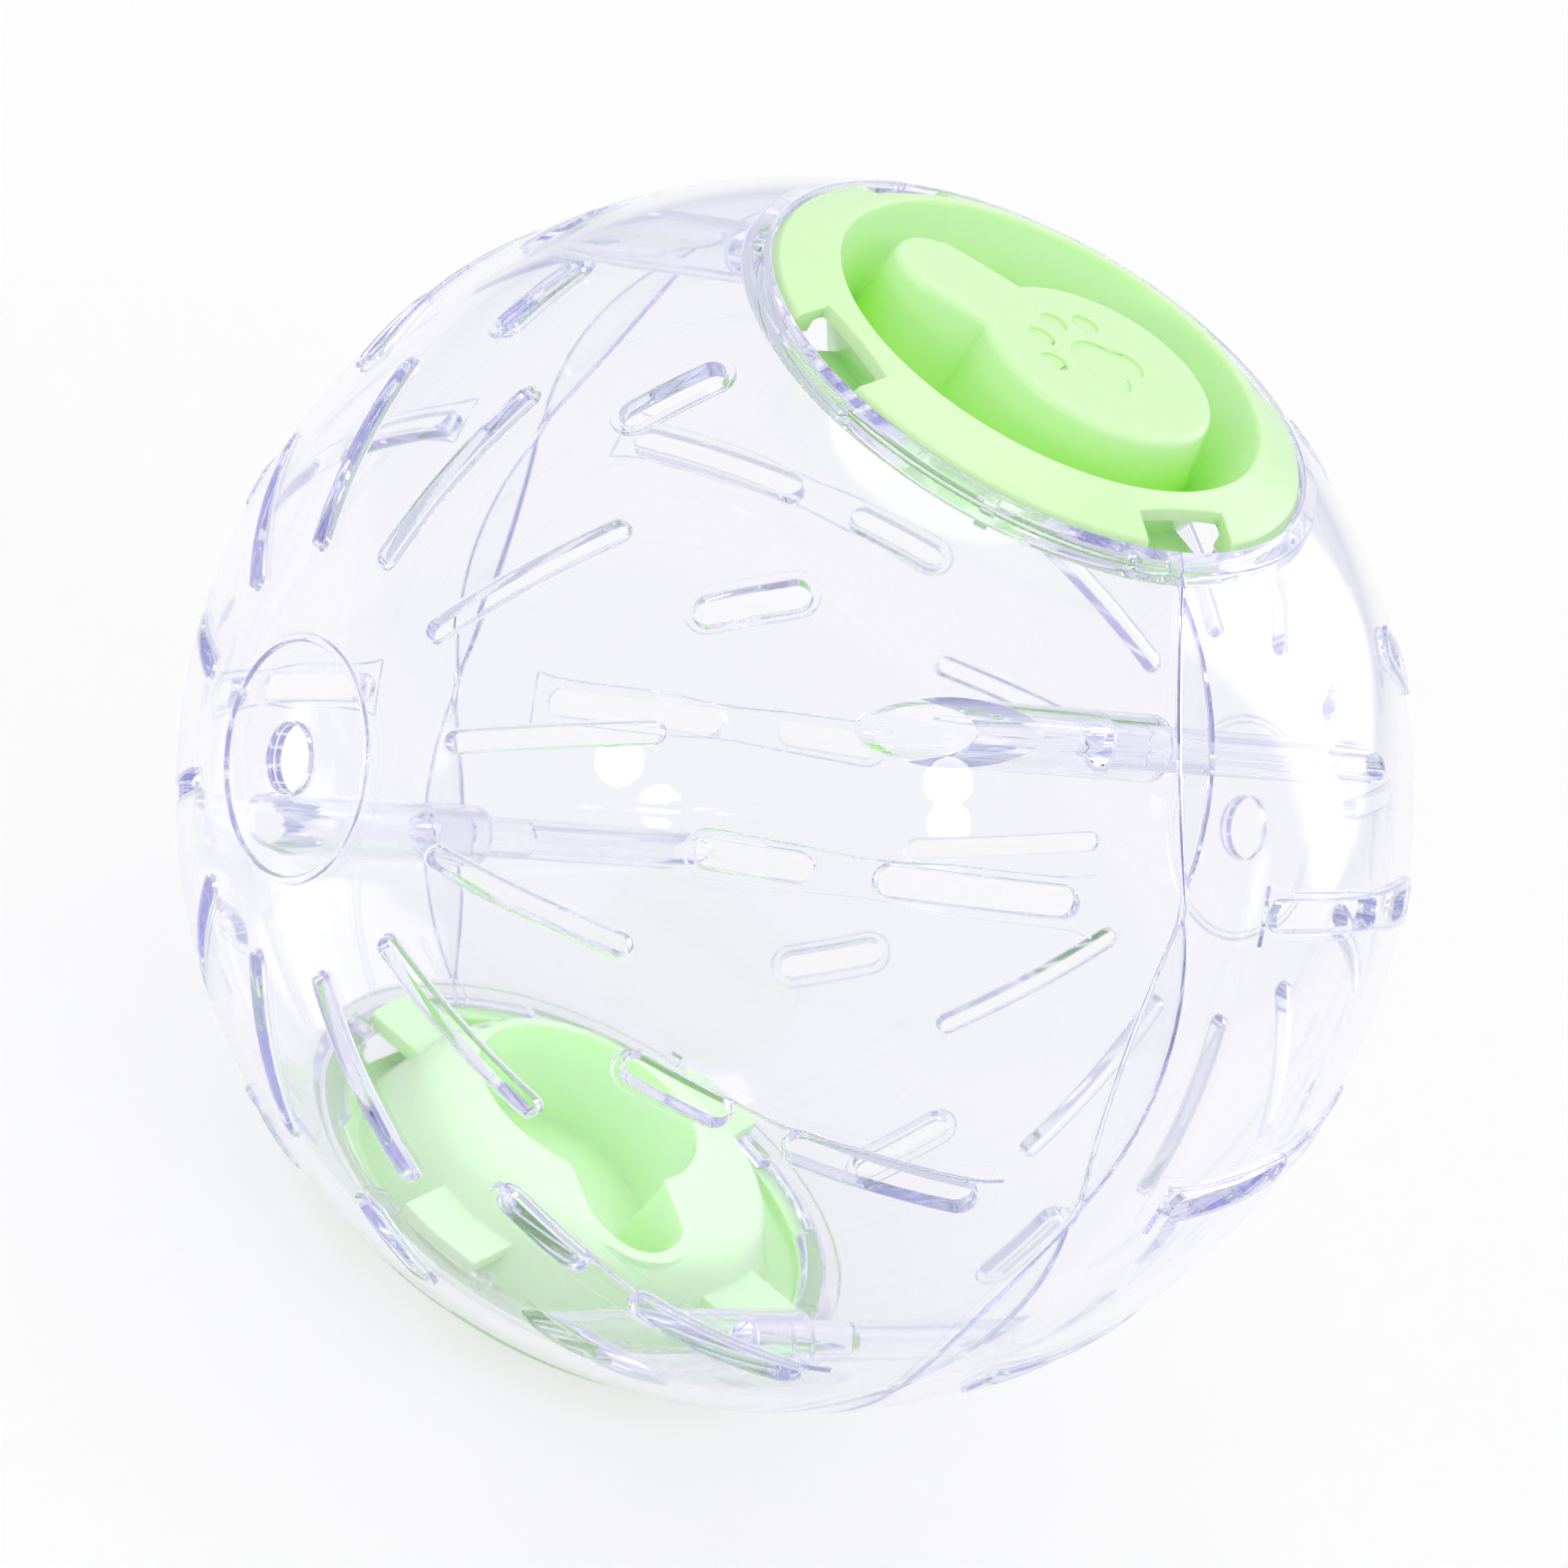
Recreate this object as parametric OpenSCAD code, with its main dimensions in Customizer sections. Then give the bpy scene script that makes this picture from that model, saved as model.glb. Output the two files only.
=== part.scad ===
// Hamster ball: two clear half shells that pin together at a scalloped seam,
// with a green bayonet lid above and below. The ball stands on its lower lid.
// Origin: centre of the ball. +Z: through the upper lid. X: through the poles.

/* [Ball] */
// Outside diameter of the ball
ball_d = 140; // [135:1:150]
// Wall thickness of the clear shells
shell_wall = 2; // [1.8:0.1:2.4]
// Gap between the faces of the two half shells
seam_gap = 0.1; // [0.06:0.02:0.2]

/* [Seam laps] */
// How far each lap reaches over the seam
lap_reach = 2.5; // [2:0.1:3]
// Thickness of the outer laps
lap_skin = 0.8; // [0.7:0.05:0.9]
// Clearance between laps that lie over each other
lap_gap = 0.25; // [0.2:0.05:0.35]

/* [Air slots] */
// Width of the long slots near the pole
inner_slot_w = 2.2; // [1.8:0.1:2.6]
// Width of the short slots between them and the seam
short_slot_w = 3.2; // [2.6:0.1:3.4]
// Width of the long slots near the seam
outer_slot_w = 3.4; // [2.8:0.1:3.6]
// Height of the raised rims above the ball
rim_raise = 0.45; // [0.3:0.05:0.6]
// Width of the raised rim beside a slot
rim_w = 1.1; // [0.9:0.1:1.3]

/* [Poles] */
// Diameter of the hole at each pole
pole_bore_d = 7.6; // [6:0.1:9]
// Outside diameter of the raised ring round each pole
pole_ring_d = 27.4; // [26:0.2:29]
// Width of that ring
pole_ring_w = 0.9; // [0.7:0.1:1.2]

/* [Posts] */
// Distance of each post's axis from the outside of the ball
post_inset = 8.2; // [8:0.1:9]
// Outside diameter of the sockets on the left shell
socket_d = 7.4; // [7.2:0.1:7.8]
// Width of the open part of a socket's bore
socket_core_d = 5.9; // [5.6:0.1:6]
// Diameter of the pins on the right shell
pin_d = 4.9; // [4.6:0.1:5]
// Radial clearance of a pin in its socket
pin_clearance = 0.06; // [0.04:0.01:0.1]
// How far a pin passes the seam
pin_reach = 7.7; // [7:0.1:9]
// Diameter of the core hole in the pins
pin_core_d = 2.6; // [2.2:0.1:2.8]

/* [Lids] */
// Outside diameter of a lid
lid_d = 64.8; // [64:0.1:65.4]
// Wall thickness of a lid
lid_wall = 1.6; // [1.4:0.1:1.8]
// Thickness of the flange at its edge
flange_edge_t = 1.7; // [1.5:0.1:1.9]
// How far the flange stands above the ball
flange_crown = 0.2; // [0.1:0.05:0.4]
// Radial clearance round the lid in its collar
lid_clearance = 0.35; // [0.3:0.05:0.4]
// Width of the flange round the finger bowl
flange_w = 7; // [6.8:0.1:7.3]
// How far the bowl narrows, on each side, down to its floor
bowl_taper = 3.9; // [3:0.1:4.5]
// Depth of the bowl below its rim
bowl_depth = 12; // [11:0.5:13]
// Turn of the lids from the pole axis, in degrees
lid_angle = 4.5; // [0:0.5:8]

/* [Lid grip] */
// Diameter of the round end of the grip
grip_disc_d = 28; // [26:0.5:29]
// Width of the bar end of the grip
grip_bar_w = 12.4; // [11:0.2:13]
// Gap between the round end and the foot of the bowl's side
grip_disc_gap = 1.9; // [1.6:0.1:3]
// Gap between the bar end and the foot of the bowl's side
grip_bar_gap = 1.3; // [1:0.1:3]
// Height of the grip above the bowl's rim
grip_rise = 1; // [0.6:0.1:1.4]
// How far the grip's sides spread from top to bottom
grip_draft = 1.6; // [1.2:0.1:2]
// Direction of the bar end, in degrees
grip_angle = 131; // [120:1:140]
// Depth of the paw print in the grip
print_depth = 0.4; // [0.2:0.05:0.5]

/* [Bayonet] */
// Width of the lid's edge that rests on the ledge
seat_w = 2.5; // [2.3:0.1:2.7]
// Thickness of the ledge that a lid rests on
ledge_t = 1.7; // [1.5:0.1:2]
// Width of the clear collar round a lid
collar_w = 2; // [1.6:0.1:2.4]
// How far the lugs reach under the ledge
lug_reach = 1.2; // [1:0.05:1.3]
// Width of a lug
lug_w = 11; // [10:0.5:11.5]
// Thickness of a lug
lug_t = 1.8; // [1.5:0.1:2]
// Clearance between a lug and the ledge above it
lug_clearance = 0.15; // [0.1:0.05:0.2]
// Width of the windows in the flange
window_w = 12.4; // [12:0.1:13]
// Turn that locks a lid, in degrees
lock_turn = 30; // [26:1:32]

/* [Hidden] */
$fn = 96;

// Overrun of the cuts
over = 1;

ball_r = ball_d / 2;
inner_r = ball_r - shell_wall;
mid_r = ball_r - shell_wall / 2;
rim_r = ball_r + rim_raise;

// Cuts and raised forms on the ball start below its wall and end above its rims
start_r = inner_r - shell_wall;
cut_l = rim_r + over - start_r;

// Azimuths are turned about the pole axis, from +Z towards +Y.
// Polar angles are counted from the shell's own pole.
pitch = 30;

// Seam laps: the inner layer crosses the seam at one set, the outer skin at the other
under_laps = [75, 135, -45, -105];
over_laps = [45, 105, -75, -135];
lap_skin_r = ball_r - lap_skin;
lap_under_r = lap_skin_r - lap_gap;

// The tips of the laps stay clear of the next lap and of the collar
over_tip_gap = 0.5;
under_tip_gap = 1.25;
over_half_l = lap_skin_r * sin(pitch / 2) - over_tip_gap;
under_half_l = inner_r * sin(pitch / 2) - under_tip_gap;

// Air slots: azimuths, and the polar angles of their ends
inner_slot_azimuths = [for (i = [0:11]) pitch / 2 + i * pitch];
inner_slot_polar = [19.7, 40.2];
short_slot_azimuths = [for (i = [0:11]) i * pitch];
short_slot_polar = [44, 54.3];
outer_slot_azimuths = [60, 90, 120, -60, -90, -120];
outer_slot_polar = [60, 78.6];

// Raised pads: round a short slot alone, or round it and the outer slot beyond it
plain_pad_azimuths = [0, 30, 150, 180, -150, -30];
short_pad_w = short_slot_w + 2 * rim_w;
long_pad_w = outer_slot_w + 2 * rim_w;
long_pad_polar = [short_slot_polar[0], 80.3];
// Shares of the length and width of a long pad, from its neck to its square end
long_pad_shares = [[0.24, 0.86], [0.38, 0.74], [0.48, 0.8], [0.6, 0.96], [0.88, 0.98], [0.95, 1.06], [1, 1.24]];

// Posts
post_azimuths = [45, 135, -45, -135];
post_offset = ball_r - post_inset;
socket_fit_r = pin_d / 2 + pin_clearance;
socket_neck_l = pin_reach + pin_clearance;

// Levels of a lid's seat
lid_r = lid_d / 2;
opening_r = lid_r - seat_w;
collar_in_r = lid_r + lid_clearance;
collar_r = collar_in_r + collar_w;
lid_edge_z = sqrt(pow(ball_r, 2) - pow(lid_r, 2));
flange_z = lid_edge_z - flange_edge_t;
seat_gap = 0.05;
ledge_top_z = flange_z - seat_gap;
ledge_z = ledge_top_z - ledge_t;

// Lid: rounding of its edges, and the flat land under the flange
crown_r = ball_r + flange_crown;
under_r = crown_r - lid_wall;
bowl_rim_r = lid_r - flange_w;
bowl_floor_r = bowl_rim_r - bowl_taper;
bowl_rim_z = sqrt(pow(crown_r, 2) - pow(bowl_rim_r, 2));
floor_z = bowl_rim_z - bowl_depth;
edge_round = 0.6;
bowl_round = 1.2;
floor_round = 4;
land_w = 2.8;
land_r = lid_r - land_w;

// The bowl's straight side touches the rounding of its floor
floor_centre = [bowl_floor_r - floor_round, floor_z + floor_round];
side_top = [bowl_rim_r, bowl_rim_z - bowl_round];
side_run = side_top - floor_centre;
side_turn = atan2(side_run[1], side_run[0]) - acos(floor_round / norm(side_run));
side_normal = [cos(side_turn), sin(side_turn)];

// Grip
grip_z = bowl_rim_z + grip_rise;
grip_round = 1.3;
grip_disc_r = grip_disc_d / 2;
grip_bar_r = grip_bar_w / 2;
grip_disc_offset = bowl_floor_r - grip_disc_gap - grip_disc_r;
grip_bar_offset = bowl_floor_r - grip_bar_gap - grip_bar_r;

// Paw print in the grip: one broad pad and four toes
paw_pad_r = 3.7;
paw_heel_r = 2.5;
paw_heel_spread = 2.4;
paw_heel_drop = 2.2;
paw_toe_r = 1.65;
paw_toe_reach = 7.2;
paw_toe_turns = [-57, -19, 19, 57];

// Bayonet
lug_r = opening_r + lug_reach;
lug_z = ledge_z - lug_clearance - lug_t;
notch_r = lug_r + lid_clearance;
window_margin = 2;
window_r = opening_r - window_margin;
lug_angles = [for (i = [0:3]) lid_angle + i * 90];

// Stops under the ledge that end a lid's turn
stop_w = 1.5;
stop_h = 1.6;
stop_spare = 2;
stop_r = opening_r + lug_clearance;
stop_turn = lock_turn + stop_spare + asin((lug_w + stop_w) / 2 / opening_r);

// Colours
clear_colour = [0.86, 0.87, 0.96, 0.45];
lid_colour = [0.76, 0.93, 0.66];

// Points along an arc of radius r about c, from angle a to angle b
function arc(c, r, a, b, n) = [for (i = [0:n]) let (t = a + (b - a) * i / n) c + r * [cos(t), sin(t)]];

// Turns its children to an azimuth about the pole axis
module at_azimuth(a) {
  rotate([-a, 0, 0]) children();
}

// Lays its children under the wall, midway between two polar angles, with X towards the seam
module between(polar) {
  rotate([0, (polar[0] + polar[1]) / 2 - 90, 0]) translate([0, 0, start_r]) children();
}

// Wall between two radii
module layer(r_out, r_in) {
  difference() {
    sphere(r = r_out);
    sphere(r = r_in);
  }
}

// Everything on the left of the seam
module left_side() {
  translate([-ball_d - seam_gap / 2, -ball_d, -ball_d]) cube([ball_d, 2 * ball_d, 2 * ball_d]);
}

// Half the chord on the ball between two polar angles
function half_chord(polar) = ball_r * sin((polar[1] - polar[0]) / 2);

// Outline with round ends of width w about two centres
module round_ended(half_l, w) {
  square([2 * half_l, w], center = true);
  for (s = [-1, 1]) translate([s * half_l, 0]) circle(d = w);
}

// Outline of a long pad: a round head, a neck and a square end
module long_pad_outline() {
  end = half_chord(long_pad_polar);
  head = short_slot_w / 2 - end;
  upper = [for (s = long_pad_shares) [head + (end - head) * s[0], long_pad_w / 2 * s[1]]];
  lower = [for (i = [len(upper) - 1:-1:0]) [upper[i][0], -upper[i][1]]];
  polygon(concat(lower, arc([head, 0], short_pad_w / 2, 270, 90, 12), upper));
}

// Through cuts for one ring of air slots
module slot_ring(azimuths, polar, w) {
  for (a = azimuths)
    at_azimuth(a) between(polar) linear_extrude(cut_l) round_ended(half_chord(polar) - w / 2, w);
}

module air_slots() {
  slot_ring(inner_slot_azimuths, inner_slot_polar, inner_slot_w);
  slot_ring(short_slot_azimuths, short_slot_polar, short_slot_w);
  slot_ring(outer_slot_azimuths, outer_slot_polar, outer_slot_w);
}

// The raised pads round the slots and the ring round the pole
module raised_rims() {
  intersection() {
    layer(rim_r, mid_r);
    union() {
      for (a = plain_pad_azimuths)
        at_azimuth(a) between(short_slot_polar) linear_extrude(cut_l)
          round_ended(half_chord(short_slot_polar) - short_slot_w / 2, short_pad_w);
      for (a = outer_slot_azimuths)
        at_azimuth(a) between(long_pad_polar) linear_extrude(cut_l) long_pad_outline();
      rotate([0, -90, 0]) translate([0, 0, start_r]) linear_extrude(cut_l) difference() {
        circle(d = pole_ring_d);
        circle(d = pole_ring_d - 2 * pole_ring_w);
      }
    }
  }
}

// A lens-shaped bar through the wall on the seam: two arcs that meet at its tips
module lens(tip, grow) {
  half_l = tip + grow;
  half_w = lap_reach + grow;
  r = (pow(half_l, 2) + pow(half_w, 2)) / 2 / half_w;
  intersection_for (s = [-1, 1])
    translate([s * (r - half_w), 0, start_r]) cylinder(r = r, h = cut_l);
}

module lenses(azimuths, tip, grow) {
  for (a = azimuths) at_azimuth(a) lens(tip, grow);
}

// The wall of a half shell, with its laps
module lapped_wall() {
  difference() {
    intersection() {
      layer(ball_r, inner_r);
      left_side();
    }
    intersection() {
      layer(ball_r + over, lap_under_r);
      lenses(under_laps, over_half_l, lap_gap);
    }
    intersection() {
      layer(lap_skin_r, inner_r - over);
      lenses(over_laps, under_half_l, lap_gap);
    }
  }
  intersection() {
    layer(lap_under_r, inner_r);
    lenses(under_laps, under_half_l, 0);
  }
  intersection() {
    layer(ball_r, lap_skin_r);
    lenses(over_laps, over_half_l, 0);
  }
}

// Both lid places are the same, turned over about the pole axis
module both_lids() {
  children();
  rotate([180, 0, 0]) children();
}

// Solid rings that the seats are cut from, and the stops
module seat_ring() {
  intersection() {
    translate([0, 0, ledge_z]) cylinder(r = collar_r, h = ball_r);
    sphere(r = rim_r);
  }
  for (a = lug_angles)
    rotate([0, 0, a - stop_turn]) translate([stop_r, -stop_w / 2, ledge_z - stop_h])
      cube([collar_in_r - stop_r, stop_w, stop_h + ledge_t / 2]);
}

// What a lid's seat takes out of the shells: recess, opening and notches for the lugs
module seat_cut() {
  translate([0, 0, ledge_top_z]) cylinder(r = collar_in_r, h = ball_r);
  translate([0, 0, ledge_z - stop_h - over]) cylinder(r = opening_r, h = ball_r);
  for (a = lug_angles)
    rotate([0, 0, a]) translate([0, 0, ledge_z - over]) intersection() {
      translate([0, -window_w / 2, 0]) cube([ball_r, window_w, ledge_t + 2 * over]);
      cylinder(r = notch_r, h = ledge_t + 2 * over);
    }
}

// Rods along the pole axis at the posts, from x = end to the outside
module post_rods(d, end) {
  for (a = post_azimuths)
    at_azimuth(a) translate([end, 0, post_offset]) rotate([0, -90, 0]) cylinder(d = d, h = ball_r);
}

// Posts end in the middle of the wall
module posts(d, end) {
  intersection() {
    post_rods(d, end);
    sphere(r = mid_r);
  }
}

// A left half shell, with its children as posts
module half_shell() {
  difference() {
    union() {
      lapped_wall();
      intersection() {
        both_lids() seat_ring();
        left_side();
      }
      raised_rims();
      children();
    }
    both_lids() seat_cut();
    air_slots();
    rotate([0, -90, 0]) translate([0, 0, start_r]) cylinder(d = pole_bore_d, h = cut_l);
  }
}

module left_shell() {
  color(clear_colour) difference() {
    half_shell() posts(socket_d, -seam_gap / 2);
    post_rods(2 * socket_fit_r, over);
    post_rods(socket_core_d, -socket_neck_l);
  }
}

module right_shell() {
  color(clear_colour) rotate([0, 0, 180]) difference() {
    half_shell() posts(pin_d, pin_reach);
    post_rods(pin_core_d, -pin_reach);
  }
}

// Half section of a lid without its bowl: floor, side, underside, land, edge and crown
module lid_outline() {
  edge_turn = asin((lid_r - edge_round) / crown_r);
  rim_turn = asin(bowl_rim_r / crown_r);
  land_turn = asin(land_r / under_r);
  side_foot = side_top + lid_wall * side_normal + edge_round * [side_normal[1], -side_normal[0]];
  wall_turn = asin((side_foot[0] + edge_round) / under_r);
  polygon(concat(
    [[0, floor_z - lid_wall]],
    arc(floor_centre, floor_round + lid_wall, -90, side_turn, 6),
    [side_foot],
    arc([0, 0], under_r, 90 - wall_turn, 90 - land_turn, 3),
    [[land_r, flange_z], [lid_r, flange_z], [lid_r, lid_edge_z - edge_round]],
    arc([0, 0], crown_r, 90 - edge_turn, 90 - rim_turn, 5),
    [[0, bowl_rim_z]]));
}

// Half section of the finger bowl, with the round rim at its top
module bowl_outline() {
  polygon(concat(
    [[0, floor_z]],
    arc(floor_centre, floor_round, -90, side_turn, 6),
    arc(side_top + [bowl_round, 0], bowl_round, 180, 90, 4),
    [[bowl_rim_r + bowl_round, crown_r], [0, crown_r]]));
}

// Half section of the grip, with its faces drawn in
module grip_outline(half_w, inset, foot_z) {
  round_r = grip_round - inset / 2;
  top_r = half_w - inset;
  top_z = grip_z - inset;
  polygon(concat(
    [[0, foot_z], [top_r + grip_draft, foot_z], [top_r + grip_draft, floor_z]],
    arc([top_r - round_r, top_z - round_r], round_r, 0, 90, 4),
    [[0, top_z]]));
}

// The grip: a disc with a bar that ends round
module grip(inset, foot_z) {
  bar_l = grip_disc_offset + grip_bar_offset;
  rotate([0, 0, grip_angle]) translate([-grip_disc_offset, 0, 0]) {
    rotate_extrude() grip_outline(grip_disc_r, inset, foot_z);
    rotate([90, 0, 90]) linear_extrude(bar_l) {
      grip_outline(grip_bar_r, inset, foot_z);
      mirror([1, 0]) grip_outline(grip_bar_r, inset, foot_z);
    }
    translate([bar_l, 0, 0]) rotate([0, 0, -90]) rotate_extrude(angle = 180)
      grip_outline(grip_bar_r, inset, foot_z);
  }
}

// Sunk paw print on the disc of the grip
module paw_print() {
  rotate([0, 0, grip_angle]) translate([-grip_disc_offset, 0, grip_z - print_depth])
    linear_extrude(print_depth + over) {
      circle(r = paw_pad_r);
      for (s = [-1, 1]) translate([-paw_heel_drop, s * paw_heel_spread]) circle(r = paw_heel_r);
      for (a = paw_toe_turns) rotate(a) translate([paw_toe_reach, 0]) circle(r = paw_toe_r);
    }
}

// Bayonet lugs on the outside of the bowl
module lugs() {
  for (a = lug_angles)
    rotate([0, 0, a]) translate([0, 0, lug_z]) intersection() {
      translate([bowl_floor_r, -lug_w / 2, 0]) cube([lug_r, lug_w, lug_t]);
      cylinder(r = lug_r, h = lug_t);
    }
}

// Windows through the flange, above the lugs
module windows() {
  for (a = lug_angles)
    rotate([0, 0, a]) translate([window_r, -window_w / 2, flange_z - over]) cube([lid_r, window_w, ball_r]);
}

module lid() {
  difference() {
    union() {
      difference() {
        union() {
          rotate_extrude() lid_outline();
          lugs();
        }
        rotate_extrude() bowl_outline();
      }
      grip(0, floor_z - lid_wall / 2);
    }
    grip(lid_wall, floor_z - lid_wall - over);
    paw_print();
    windows();
  }
}

// The upper lid has its lugs at the notches, ready to lift off
module upper_lid() {
  color(lid_colour) lid();
}

// The lower lid is turned into its lock
module lower_lid() {
  color(lid_colour) rotate([180, 0, 0]) rotate([0, 0, -lock_turn]) lid();
}

left_shell();
right_shell();
upper_lid();
lower_lid();
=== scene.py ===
"""Looks for the hamster ball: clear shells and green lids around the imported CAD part."""
import math

import bmesh
import bpy
from mathutils import Matrix, Vector


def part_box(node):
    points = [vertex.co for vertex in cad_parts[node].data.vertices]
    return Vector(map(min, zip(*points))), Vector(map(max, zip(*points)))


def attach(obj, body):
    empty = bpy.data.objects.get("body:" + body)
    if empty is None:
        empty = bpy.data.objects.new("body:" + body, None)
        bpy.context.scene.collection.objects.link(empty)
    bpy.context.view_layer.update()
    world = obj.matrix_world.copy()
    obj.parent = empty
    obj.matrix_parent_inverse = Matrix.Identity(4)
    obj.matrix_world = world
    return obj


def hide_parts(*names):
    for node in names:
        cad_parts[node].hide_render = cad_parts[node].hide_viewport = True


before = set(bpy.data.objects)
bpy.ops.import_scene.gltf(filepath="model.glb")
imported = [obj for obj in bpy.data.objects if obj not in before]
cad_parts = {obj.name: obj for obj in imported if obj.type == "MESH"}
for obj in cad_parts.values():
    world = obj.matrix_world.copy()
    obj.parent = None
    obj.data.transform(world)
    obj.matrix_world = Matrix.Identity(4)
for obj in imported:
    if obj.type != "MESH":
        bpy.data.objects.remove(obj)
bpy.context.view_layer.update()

MM = 0.001
BALL_R = 0.070
# The spheres on which the pieces' large faces lie, with a minus sign for faces that look inward
SHELL_RADII = [0.070, -0.068, 0.07045, -0.0692, 0.06895]
LID_RADII = [0.0702, -0.0686]
PRINT_FLOOR_Z = 65.9 * MM
POLE_RING_X = 67 * MM

# The floor lies just below the lower lid, because two faces in one plane would flicker
FLOOR_GAP = 0.02 * MM
FLOOR_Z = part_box("lower_lid")[0][2] - FLOOR_GAP

# The rounding of the edges: its widths, and the shares of them that some edges take
SHELL_ROUNDING = 0.38 * MM
LID_ROUNDING = 0.3 * MM
ROUNDING_SEGMENTS = 3
OUTWARD_SHARE = 0.6
SHELL_HOLLOW_SHARE = 0.36
LID_HOLLOW_SHARE = 1
FINE_SHARE = 0.4
ROUNDED_ANGLE = math.radians(28)

# What counts as one point, as on a sphere, as square to it, as sharp, and as faces that agree
WELD = 0.01 * MM
ON_SPHERE = 0.08 * MM
FACING_OUT = 0.97
SHARP_ANGLE = math.radians(50)
AGREEING = 0.93
UNFOLD_ROUNDS = 16

# The photograph's camera: its frame, the ball in it, and the world's axes seen from it
IMAGE_PX = 1572
BALL_CENTRE_PX = (796.5, 797.0)
BALL_RADIUS_PX = 621.0
CAMERA_DISTANCE = 14 * BALL_R
SENSOR_MM = 36.0
CAMERA_RIGHT = Vector((0.786415, -0.439889, 0.433646))
CAMERA_UP = Vector((-0.057110, 0.647249, 0.760136))
CAMERA_BACK = Vector((-0.615052, -0.622548, 0.483885))

# What glass shows of the room, and the levels of the world's light
WHITE = (1, 1, 1, 1)
SKY_TOP = (0.62, 0.62, 0.74, 1)
SKY_TOP_HEIGHT = 0.85
HORIZON = (0.74, 0.75, 0.84, 1)
FAR_FLOOR = (0.66, 0.67, 0.80, 1)
WORLD_LEVEL = 0.95
HELD_LEVEL = 4
LAMP_DISTANCE = 1.5
# Light runs far along the inside of a clear wall before it leaves at an edge
LIGHT_BOUNCES = 80

# Half the floor's side, how far off it starts and ends to turn grey, its colour and its own light
FLOOR_HALF = 4.0
FLOOR_NEAR = 0.4
FLOOR_FAR = 1.5
FLOOR_COLOUR = (0.85, 0.85, 0.85, 1)
FLOOR_GLOW = 0.72

# A soft window to the right, by its direction, its half width and height and its edge as sines
WINDOW_SIDE = Vector((0.897, 0.057, 0.438)).normalized()
WINDOW_HALF_W = 0.34
WINDOW_HALF_H = 0.46
WINDOW_EDGE = 0.08
WINDOW_LEVEL = 2.2

# The plastics, the painted shade green that the lids' recesses turn to, and how far from the lid's axis
# the bowl's outer side turns pale, which is painted light
CLEAR_COLOUR = (0.985, 0.985, 1.0, 1)
TONER = (0.56, 0.54, 0.88, 1)
# Painted shade: the deeper green that recesses and corners turn to
PAINTED_SHADE_GREEN = (0.50, 0.93, 0.17, 1)
PALE_GREEN = (0.655, 0.905, 0.53, 1)
GREEN_UNEVENNESS = (0.95, 0.99, 0.92, 1)
BOWL_SIDE_FROM = 0.0208
BOWL_SIDE_TO = 0.0250
BOWL_SIDE_PAINTED_LIGHT = 0.85


def make_camera():
    data = bpy.data.cameras.new("camera")
    camera = bpy.data.objects.new("camera", data)
    bpy.context.collection.objects.link(camera)
    focal_px = BALL_RADIUS_PX * math.sqrt((CAMERA_DISTANCE / BALL_R) ** 2 - 1)
    data.sensor_width = SENSOR_MM
    data.lens = SENSOR_MM * focal_px / IMAGE_PX
    data.shift_x = (IMAGE_PX / 2 - BALL_CENTRE_PX[0]) / IMAGE_PX
    data.shift_y = (BALL_CENTRE_PX[1] - IMAGE_PX / 2) / IMAGE_PX
    data.clip_start, data.clip_end = 0.05, 50
    place = CAMERA_BACK.normalized() * CAMERA_DISTANCE
    turn = Matrix((CAMERA_RIGHT, CAMERA_UP, CAMERA_BACK)).transposed().to_4x4()
    camera.matrix_world = Matrix.Translation(place) @ turn
    bpy.context.scene.camera = camera


def welded(name):
    """The CAD node's mesh, with its seams between faces closed."""
    bm = bmesh.new()
    bm.from_mesh(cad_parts[name].data)
    bmesh.ops.remove_doubles(bm, verts=bm.verts, dist=WELD)
    bmesh.ops.dissolve_degenerate(bm, edges=bm.edges, dist=WELD)
    bmesh.ops.recalc_face_normals(bm, faces=bm.faces)
    return bm


def weigh_edges(bm, hollow, fine_above, full_at):
    """Gives each corner its share of the rounding.

    Outward corners take all of it at the radius full_at and on the pole rings, and a share elsewhere.
    Hollow ones take their own share, and those above fine_above a fine one.
    """
    weight = bm.edges.layers.float.new("bevel_weight_edge")
    for edge in bm.edges:
        if edge.is_manifold and edge.calc_face_angle() > ROUNDED_ANGLE:
            outward_corner = edge.calc_face_angle_signed() > 0
            edge[weight] = OUTWARD_SHARE if outward_corner else hollow
            at_wall = all(abs(v.co.length - full_at) < WELD for v in edge.verts)
            at_pole = all(abs(v.co.x) > POLE_RING_X for v in edge.verts)
            if full_at and (at_wall or at_pole) and outward_corner:
                edge[weight] = 1
            if all(abs(v.co.z) > fine_above for v in edge.verts):
                edge[weight] = FINE_SHARE


def sphere_side(corners, normal, radii):
    """1 or -1 for a face on a sphere that should look out or in, else 0, and if it looks the wrong way."""
    along = normal.dot(sum(corners, Vector()).normalized())
    for radius in radii:
        if abs(along) > FACING_OUT and all(abs(c.length - abs(radius)) < ON_SPHERE for c in corners):
            side = math.copysign(1, radius)
            return side, side * along < 0
    return 0, False


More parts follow.
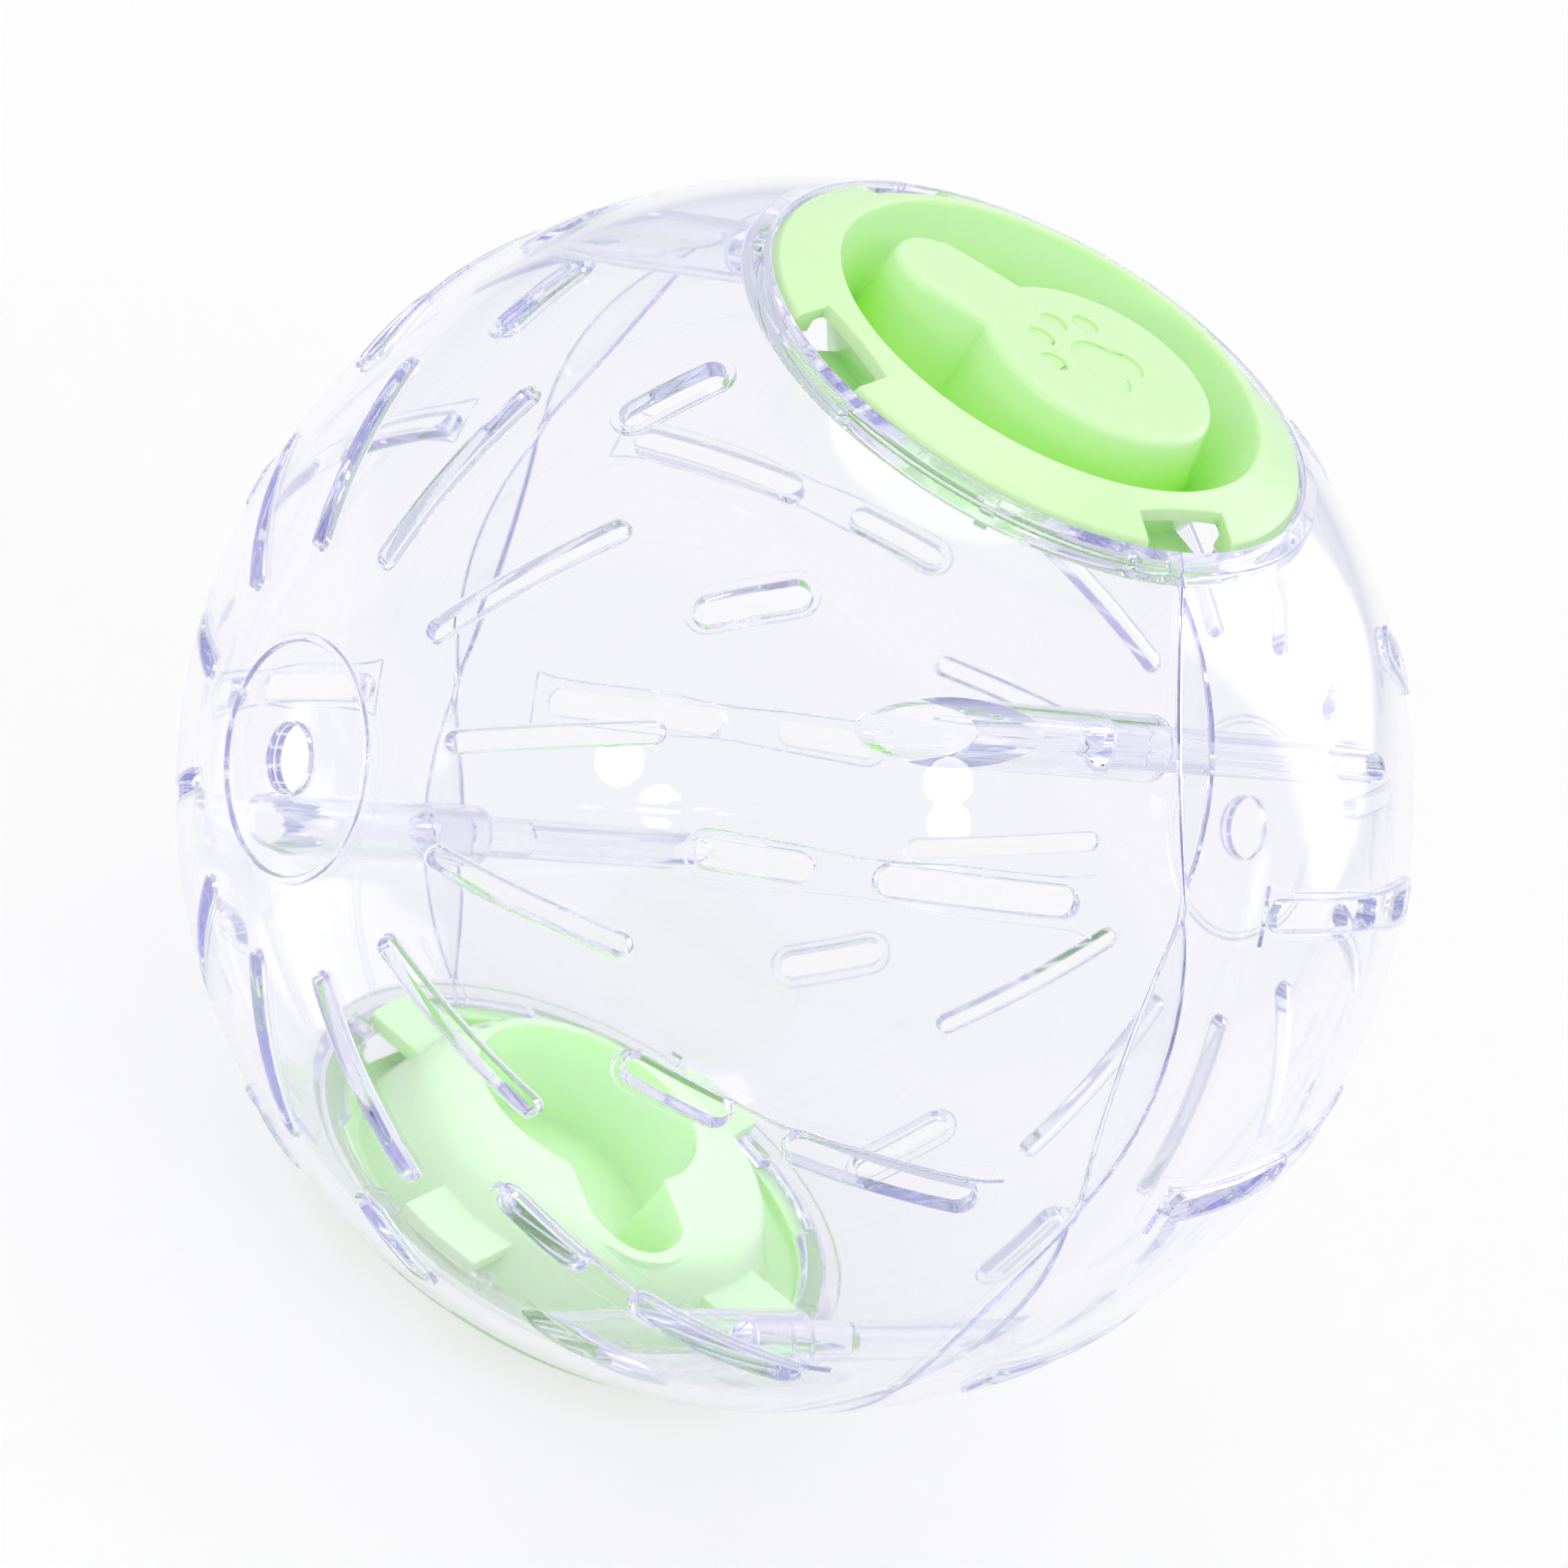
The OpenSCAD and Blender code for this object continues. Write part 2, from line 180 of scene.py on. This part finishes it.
def unfold(bm, radii):
    """Lays flat the triangles that the rounding has folded over on the spheres.

    An edge is turned where that helps. Every second time the short edges of the rest are joined, where
    the mesh stays closed.
    """
    for attempt in range(UNFOLD_ROUNDS):
        turned = []
        for face in bm.faces:
            side, folded = sphere_side([v.co for v in face.verts], face.normal, radii)
            if folded and len(face.verts) == 3:
                turned.append((face, side))
        joined, busy = {}, set()
        for face, side in turned:
            if not face.is_valid:
                continue
            edge = edge_to_turn(face, side)
            if edge:
                bmesh.utils.edge_rotate(edge)
            elif attempt % 2:
                short = min(face.edges, key=lambda e: e.calc_length())
                near = [{e.other_vert(v) for e in v.link_edges} for v in short.verts]
                triangles = sum(len(f.verts) == 3 for f in short.link_faces)
                if len(near[0] & near[1]) == triangles and not (near[0] | near[1]) & busy:
                    joined[short.verts[0]] = short.verts[1]
                    busy |= near[0] | near[1]
        bmesh.ops.weld_verts(bm, targetmap=joined)
        bm.normal_update()


def edge_to_turn(face, side):
    """The edge of a folded triangle that leaves the flattest pair of triangles when it is turned."""
    best, found = 0, None
    for loop in face.loops:
        pair = loop.link_loop_radial_next
        if pair is loop or len(pair.face.verts) != 3:
            continue
        tip, far_tip = loop.link_loop_prev.vert, pair.link_loop_prev.vert
        if far_tip in [e.other_vert(tip) for e in tip.link_edges]:
            continue
        a, b, c, d = tip.co, loop.vert.co, loop.link_loop_next.vert.co, far_tip.co
        before = min(outward_area(a, b, c) * side, outward_area(d, c, b) * side)
        after = min(outward_area(a, b, d) * side, outward_area(a, d, c) * side)
        if after - before > best:
            best, found = after - before, loop.edge
    return found


def outward_area(a, b, c):
    """Twice the area of a triangle, negative if it faces the centre."""
    return (b - a).cross(c - a).dot((a + b + c).normalized())


def lay_flat(mesh, radii):
    """Unfolds the rounded mesh, and marks which of its edges stay sharp."""
    bm = bmesh.new()
    bm.from_mesh(mesh)
    for face in bm.faces:
        face.smooth = True
    unfold(bm, radii)
    for edge in bm.edges:
        edge.smooth = edge.calc_face_angle(0) < SHARP_ANGLE
    bm.to_mesh(mesh)
    bm.free()


def smooth_normals(mesh, radii):
    """Corner normals: true ones on the spheres, those of the large faces along the rounded edges.

    The faces of the rounding have material index 1, and the large ones 0.
    """
    sums = [Vector() for _ in mesh.vertices]
    weights = [0.0] * len(mesh.vertices)
    sides = [0] * len(mesh.polygons)
    vertex_sides = [0.0] * len(mesh.vertices)
    for face in mesh.polygons:
        if face.material_index == 0:
            corners = [mesh.vertices[v].co for v in face.vertices]
            sides[face.index] = sphere_side(corners, face.normal, radii)[0]
            for v in face.vertices:
                sums[v] += face.normal * face.area
                weights[v] += face.area
                vertex_sides[v] += sides[face.index] * face.area
    normals = [Vector(c.vector) for c in mesh.corner_normals]
    for face in mesh.polygons:
        for corner in face.loop_indices:
            v = mesh.loops[corner].vertex_index
            out = mesh.vertices[v].co.normalized()
            strip_side = vertex_sides[v] if face.material_index == 1 else 0
            if sides[face.index]:
                normals[corner] = out * sides[face.index]
            elif strip_side * face.normal.dot(out) > 0:
                normals[corner] = out * math.copysign(1, strip_side)
            elif sums[v].length > AGREEING * weights[v] > 0 and face.normal.dot(sums[v]) > 0:
                normals[corner] = sums[v].normalized()
    mesh.normals_split_custom_set(normals)


def rounded_piece(node, name, material, body, width, hollow, radii, fine_above=BALL_R, full_at=0):
    """A copy of a CAD node with its edges rounded, which stands for the node."""
    bm = welded(node)
    weigh_edges(bm, hollow, fine_above, full_at)
    mesh = bpy.data.meshes.new(name)
    bm.to_mesh(mesh)
    bm.free()
    piece = bpy.data.objects.new(name, mesh)
    bpy.context.collection.objects.link(piece)
    bevel = piece.modifiers.new("rounding", "BEVEL")
    bevel.limit_method = "WEIGHT"
    bevel.offset_type = "OFFSET"
    bevel.width = width
    bevel.segments = ROUNDING_SEGMENTS
    bevel.use_clamp_overlap = False
    bevel.miter_outer = "MITER_SHARP"
    bevel.material = 1
    mesh.materials.append(material)
    mesh.materials.append(material)
    graph = bpy.context.evaluated_depsgraph_get()
    shaped = bpy.data.meshes.new_from_object(piece.evaluated_get(graph))
    piece.modifiers.clear()
    piece.data = shaped
    lay_flat(shaped, radii)
    smooth_normals(shaped, radii)
    for face in shaped.polygons:
        face.material_index = 0
    shaped.materials.pop()
    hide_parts(node)
    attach(piece, body)


def new_material(name):
    """A material, its node tree and its shader."""
    material = bpy.data.materials.new(name)
    material.use_nodes = True
    return material, material.node_tree, material.node_tree.nodes["Principled BSDF"]


def new_node(tree, kind, inputs=None, **settings):
    """A node of this kind, with its settings and the values of its inputs."""
    node = tree.nodes.new("ShaderNode" + kind)
    for name, value in settings.items():
        setattr(node, name, value)
    for name, value in (inputs or {}).items():
        node.inputs[name].default_value = value
    return node


def mapped(tree, value, ranges, **settings):
    """The output of a Map Range node on another node's output."""
    node = new_node(tree, "MapRange", ranges, **settings)
    tree.links.new(value, node.inputs["Value"])
    return node.outputs["Result"]


def calculated(tree, operation, *values):
    """The output of a Math node on other nodes' outputs."""
    node = new_node(tree, "Math", operation=operation)
    for value, socket in zip(values, node.inputs):
        tree.links.new(value, socket)
    return node.outputs[0]


def distance_out(tree, direction):
    """The length of a vector that another node gives."""
    node = new_node(tree, "VectorMath", operation="LENGTH")
    tree.links.new(direction, node.inputs[0])
    return node.outputs["Value"]


def noise_on_object(tree, place, scale):
    """The output of a noise that keeps to its place on the object."""
    noise = new_node(tree, "TexNoise", {"Scale": scale})
    tree.links.new(place, noise.inputs["Vector"])
    return noise.outputs["Fac"]


def clear_plastic():
    """Clear moulded plastic with a violet toner, which shows along the edges."""
    material, tree, shader = new_material("clear_plastic")
    shader.inputs["Base Color"].default_value = CLEAR_COLOUR
    shader.inputs["Transmission Weight"].default_value = 1
    shader.inputs["IOR"].default_value = 1.49
    place = new_node(tree, "TexCoord").outputs["Object"]
    rough = mapped(tree, noise_on_object(tree, place, scale=60), {"To Min": 0.01, "To Max": 0.04})
    tree.links.new(rough, shader.inputs["Roughness"])
    absorb = new_node(tree, "VolumeAbsorption", {"Color": TONER, "Density": 8})
    tree.links.new(absorb.outputs["Volume"], tree.nodes["Material Output"].inputs["Volume"])
    return material


def green_plastic():
    """Satin apple-green plastic, a little translucent, with painted shade: a deeper green where walls face
    each other.
    """
    material, tree, shader = new_material("green_plastic")
    place = new_node(tree, "TexCoord").outputs["Object"]
    # Painted shade: where ambient occlusion finds walls close by, the colour turns to the deeper green
    painted_shade_occlusion = new_node(tree, "AmbientOcclusion", {"Distance": 0.016}, only_local=True, samples=8)
    unshaded_share = mapped(tree, painted_shade_occlusion.outputs["AO"], {"From Min": 0.2, "From Max": 0.6})
    # Painted light: the bowl's outer side is lit from behind, through the shells, so its colour is kept
    # pale by its distance from the lid's axis
    flat = new_node(tree, "VectorMath", {1: (1, 1, 0)}, operation="MULTIPLY")
    tree.links.new(place, flat.inputs[0])
    side = mapped(tree, distance_out(tree, flat.outputs["Vector"]),
                  {"From Min": BOWL_SIDE_FROM, "From Max": BOWL_SIDE_TO, "To Max": BOWL_SIDE_PAINTED_LIGHT})
    ramp = new_node(tree, "ValToRGB")
    ramp.color_ramp.elements[0].color = PAINTED_SHADE_GREEN
    ramp.color_ramp.elements[1].color = PALE_GREEN
    tree.links.new(calculated(tree, "MAXIMUM", unshaded_share, side), ramp.inputs["Fac"])
    tint = new_node(tree, "Mix", data_type="RGBA", blend_type="MULTIPLY")
    tint.inputs["B"].default_value = GREEN_UNEVENNESS
    tree.links.new(noise_on_object(tree, place, scale=35), tint.inputs["Factor"])
    tree.links.new(ramp.outputs["Color"], tint.inputs["A"])
    tree.links.new(tint.outputs["Result"], shader.inputs["Base Color"])
    shader.inputs["Roughness"].default_value = 0.26
    shader.inputs["Subsurface Weight"].default_value = 0.5
    shader.inputs["Subsurface Radius"].default_value = (0.5, 1.0, 0.3)
    shader.inputs["Subsurface Scale"].default_value = 0.003
    return material


def seen_ray(tree, unseen, seen, *kinds):
    """One value for rays of these kinds, by which the camera sees things, and another for the rest."""
    path = new_node(tree, "LightPath")
    kinds = kinds or ("Is Camera Ray", "Is Glossy Ray", "Is Transmission Ray")
    found = path.outputs[kinds[0]]
    for kind in kinds[1:]:
        found = calculated(tree, "MAXIMUM", found, path.outputs[kind])
    return mapped(tree, found, {"To Min": unseen, "To Max": seen})


def soft_window(tree, direction):
    """One inside an upright window in the sky, falling to zero over its soft edge."""
    across = WINDOW_SIDE.cross((0, 0, 1)).normalized()
    upward = across.cross(WINDOW_SIDE)
    found = along(tree, direction, WINDOW_SIDE)
    inside = mapped(tree, found, {"From Min": 0, "From Max": WINDOW_EDGE}, interpolation_type="SMOOTHSTEP")
    for axis, half in ((across, WINDOW_HALF_W), (upward, WINDOW_HALF_H)):
        off = calculated(tree, "ABSOLUTE", along(tree, direction, axis))
        within = mapped(tree, off, {"From Min": half, "From Max": half - WINDOW_EDGE},
                        interpolation_type="SMOOTHSTEP")
        inside = calculated(tree, "MULTIPLY", inside, within)
    return inside


def along(tree, direction, axis):
    """How far a direction goes along an axis."""
    node = new_node(tree, "VectorMath", {1: axis}, operation="DOT_PRODUCT")
    tree.links.new(direction, node.inputs[0])
    return node.outputs["Value"]


def make_world():
    """White to the camera, greyer overhead and far off through glass and in reflections."""
    world = bpy.data.worlds.new("studio")
    bpy.context.scene.world = world
    world.use_nodes = True
    world.cycles.sampling_method = "NONE"
    tree = world.node_tree
    direction = new_node(tree, "TexCoord").outputs["Generated"]
    height = new_node(tree, "SeparateXYZ")
    sky = new_node(tree, "ValToRGB")
    sky.color_ramp.interpolation = "EASE"
    sky.color_ramp.elements[0].color = HORIZON
    sky.color_ramp.elements[1].position = SKY_TOP_HEIGHT
    sky.color_ramp.elements[1].color = SKY_TOP
    tree.links.new(direction, height.inputs[0])
    tree.links.new(height.outputs["Z"], sky.inputs["Fac"])
    through = new_node(tree, "Mix", data_type="RGBA")
    through.inputs["A"].default_value = WHITE
    tree.links.new(seen_ray(tree, 0, 1, "Is Glossy Ray", "Is Transmission Ray"), through.inputs["Factor"])
    tree.links.new(sky.outputs["Color"], through.inputs["B"])
    # Lamps can't reach what the clear shells hold, so light that comes to it through them is stronger
    path = new_node(tree, "LightPath")
    held = calculated(tree, "MULTIPLY", path.outputs["Is Transmission Ray"], path.outputs["Diffuse Depth"])
    level = mapped(tree, held, {"To Min": WORLD_LEVEL, "To Max": HELD_LEVEL})
    strength = calculated(tree, "MAXIMUM", level, seen_ray(tree, 0, 1))
    # A large soft window, which only reflections show
    window_level = seen_ray(tree, 0, WINDOW_LEVEL, "Is Glossy Ray")
    strength = calculated(tree, "MULTIPLY_ADD", soft_window(tree, direction), window_level, strength)
    tree.links.new(through.outputs["Result"], tree.nodes["Background"].inputs["Color"])
    tree.links.new(strength, tree.nodes["Background"].inputs["Strength"])


def make_light(name, place, size, power):
    """A round lamp that looks at the ball."""
    data = bpy.data.lights.new(name, "AREA")
    data.shape = "DISK"
    data.size = size
    data.energy = power
    light = bpy.data.objects.new(name, data)
    bpy.context.collection.objects.link(light)
    light.location = place
    light.rotation_mode = "QUATERNION"
    light.rotation_quaternion = (-Vector(place)).to_track_quat("-Z", "Y")


def camera_side(across, upward):
    """A lamp's place, by its direction across and above the line to the camera."""
    back = math.sqrt(1 - across ** 2 - upward ** 2)
    return (CAMERA_RIGHT * across + CAMERA_UP * upward + CAMERA_BACK * back) * LAMP_DISTANCE


def make_floor():
    """A wide white floor, part lit and part bright of itself, so that the shadow stays light."""
    mesh = bpy.data.meshes.new("floor")
    corners = [(x * FLOOR_HALF, y * FLOOR_HALF, FLOOR_Z) for x, y in ((-1, -1), (1, -1), (1, 1), (-1, 1))]
    mesh.from_pydata(corners, [], [(0, 1, 2, 3)])
    floor = bpy.data.objects.new("floor", mesh)
    bpy.context.collection.objects.link(floor)
    material, tree, shader = new_material("floor")
    shader.inputs["Base Color"].default_value = FLOOR_COLOUR
    shader.inputs["Roughness"].default_value = 1
    shader.inputs["Specular IOR Level"].default_value = 0
    # Glass that looks across the room sees the far floor greyer
    reach = distance_out(tree, new_node(tree, "TexCoord").outputs["Object"])
    far = new_node(tree, "MapRange", {"From Min": FLOOR_NEAR, "From Max": FLOOR_FAR})
    tree.links.new(reach, far.inputs["Value"])
    tree.links.new(seen_ray(tree, 0, 1, "Is Glossy Ray", "Is Transmission Ray"), far.inputs["To Max"])
    tone = new_node(tree, "Mix", data_type="RGBA")
    tone.inputs["A"].default_value = WHITE
    tone.inputs["B"].default_value = FAR_FLOOR
    tree.links.new(far.outputs["Result"], tone.inputs["Factor"])
    glow = new_node(tree, "Emission")
    tree.links.new(tone.outputs["Result"], glow.inputs["Color"])
    mix = new_node(tree, "MixShader")
    tree.links.new(seen_ray(tree, 0, FLOOR_GLOW), mix.inputs["Fac"])
    tree.links.new(shader.outputs["BSDF"], mix.inputs[1])
    tree.links.new(glow.outputs["Emission"], mix.inputs[2])
    tree.links.new(mix.outputs["Shader"], tree.nodes["Material Output"].inputs["Surface"])
    mesh.materials.append(material)


scene = bpy.context.scene
scene.view_settings.view_transform = "Standard"
scene.cycles.max_bounces = scene.cycles.glossy_bounces = scene.cycles.transmission_bounces = LIGHT_BOUNCES

make_camera()
make_world()
# Places and sizes in metres, and power in watts
make_light("left", camera_side(across=-0.52, upward=0.10), size=0.22, power=1.5)
make_light("right", camera_side(across=0.46, upward=0.04), size=0.22, power=1.2)
make_light("top", (0.15, 0.35, 1.6), size=1.1, power=4)
make_floor()

clear, green = clear_plastic(), green_plastic()
for side in ("left", "right"):
    rounded_piece(side + "_shell", side + "_shell_clear", clear, side,
                  SHELL_ROUNDING, SHELL_HOLLOW_SHARE, SHELL_RADII, full_at=BALL_R)
for side in ("upper", "lower"):
    rounded_piece(side + "_lid", side + "_lid_green", green, side,
                  LID_ROUNDING, LID_HOLLOW_SHARE, LID_RADII, fine_above=PRINT_FLOOR_Z)
